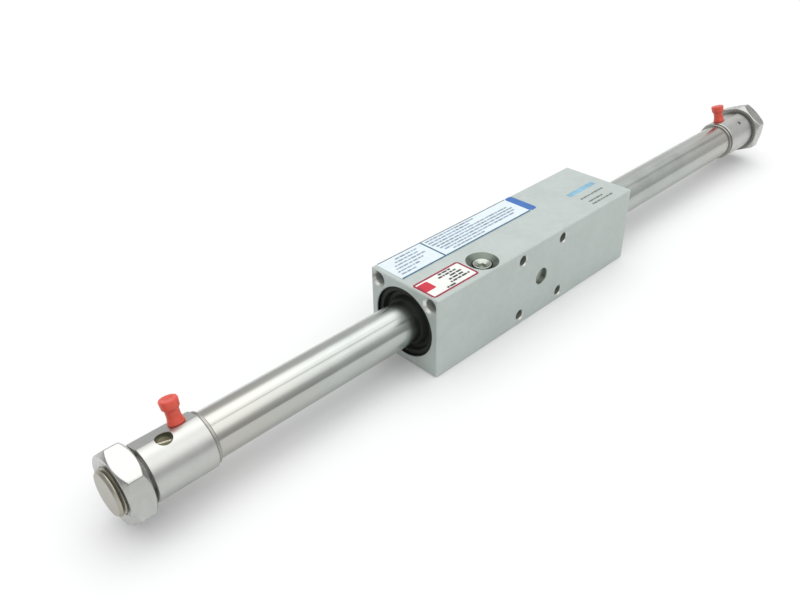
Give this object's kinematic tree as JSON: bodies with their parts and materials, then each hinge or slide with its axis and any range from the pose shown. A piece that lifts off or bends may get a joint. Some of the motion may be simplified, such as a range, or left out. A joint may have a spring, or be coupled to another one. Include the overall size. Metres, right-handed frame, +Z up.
{
  "type": "rodless pneumatic cylinder",
  "caption": "Rodless pneumatic cylinder: a magnetic piston in a slim round barrel carries a square block along it, between capped ends with threaded stubs and hexagon nuts.",
  "frame": {"origin": "on the surface that the carriage stands on, under the middle of the barrel", "axes": "+X along the barrel towards the far end cap, +Z up, the mounting face of the carriage looks along -Y"},
  "size_m": [0.4014, 0.035, 0.0356],
  "materials": {
    "barrel_steel": "ground and polished stainless tube",
    "cap_metal": "smooth satin turned",
    "collar_metal": "satin turned",
    "seal_rubber": "matte",
    "ball_steel": "polished",
    "nut_plating": "bright zinc plating",
    "plug_plastic": "moulded, slightly translucent",
    "needle_brass": "dull",
    "carriage_anodised": "satin clear anodised",
    "screw_steel": "bright",
    "wiper_rubber": "matte black",
    "bearing_plastic": "machined",
    "spacer_aluminium": "turned",
    "magnet_nickel": "nickel plated",
    "pole_iron": "ground",
    "spigot_brass": "turned",
    "label_film": "printed film, white with blue",
    "tag_film": "printed film, white with red"
  },
  "bodies": {
    "barrel": {"barrel_tube": "barrel_steel", "end_cap_near": "cap_metal", "end_cap_far": "cap_metal", "tube_collar_near": "collar_metal", "tube_collar_far": "collar_metal", "tube_seal_near": "seal_rubber", "tube_seal_far": "seal_rubber", "cushion_seal_near": "seal_rubber", "cushion_seal_far": "seal_rubber", "blanking_ball_near": "ball_steel", "blanking_ball_far": "ball_steel"},
    "piston": {"piston_spindle": "screw_steel", "inner_magnets": "magnet_nickel", "inner_pole_plates": "pole_iron", "inner_spacer_near": "spacer_aluminium", "inner_spacer_far": "spacer_aluminium", "piston_disc_near": "spacer_aluminium", "piston_disc_far": "spacer_aluminium", "piston_seal_near": "seal_rubber", "piston_seal_far": "seal_rubber", "piston_guide_near": "bearing_plastic", "piston_guide_far": "bearing_plastic", "buffer_near": "seal_rubber", "buffer_far": "seal_rubber", "cushion_spigot_near": "spigot_brass", "cushion_spigot_far": "spigot_brass"},
    "carriage": {"carriage_housing": "carriage_anodised", "lock_screw": "screw_steel", "wiper_near": "wiper_rubber", "wiper_far": "wiper_rubber", "bearing_near": "bearing_plastic", "bearing_far": "bearing_plastic", "outer_spacer_near": "spacer_aluminium", "outer_spacer_far": "spacer_aluminium", "outer_magnets": "magnet_nickel", "outer_pole_plates": "pole_iron", "wide_label": "label_film", "small_label": "tag_film"},
    "nut_near": {"mounting_nut_near": "nut_plating"},
    "nut_far": {"mounting_nut_far": "nut_plating"},
    "plug_near": {"port_plug_near": "plug_plastic"},
    "plug_far": {"port_plug_far": "plug_plastic"},
    "needle_near": {"cushion_screw_near": "needle_brass", "screw_seal_near": "seal_rubber"},
    "needle_far": {"cushion_screw_far": "needle_brass", "screw_seal_far": "seal_rubber"}
  },
  "joints": [
    {"name": "piston_travel", "type": "slide", "parent": "barrel", "child": "piston", "axis": [1, 0, 0], "range_m": [-0.0863, 0.1137]},
    {"name": "carriage_turn", "type": "hinge", "parent": "piston", "child": "carriage", "pos_m": [-0.0137, 0, 0.0175], "axis": [1, 0, 0], "continuous": true},
    {"name": "nut_near_turn", "type": "hinge", "parent": "barrel", "child": "nut_near", "pos_m": [-0.1946, 0, 0.0175], "axis": [1, 0, 0], "continuous": true},
    {"name": "nut_far_turn", "type": "hinge", "parent": "barrel", "child": "nut_far", "pos_m": [0.1946, 0, 0.0175], "axis": [1, 0, 0], "continuous": true},
    {"name": "plug_near_pull", "type": "slide", "parent": "barrel", "child": "plug_near", "axis": [0, 0.3173, 0.9483], "range_m": [0, 0.012]},
    {"name": "plug_far_pull", "type": "slide", "parent": "barrel", "child": "plug_far", "axis": [0, 0.3173, 0.9483], "range_m": [0, 0.012]},
    {"name": "needle_near_turn", "type": "hinge", "parent": "barrel", "child": "needle_near", "pos_m": [-0.1802, -0.00098, 0.02494], "axis": [0, -0.1305, 0.9914], "range_deg": [-360, 360]},
    {"name": "needle_far_turn", "type": "hinge", "parent": "barrel", "child": "needle_far", "pos_m": [0.1802, 0.00526, 0.02285], "axis": [0, 0.7009, 0.7133], "range_deg": [-360, 360]}
  ]
}
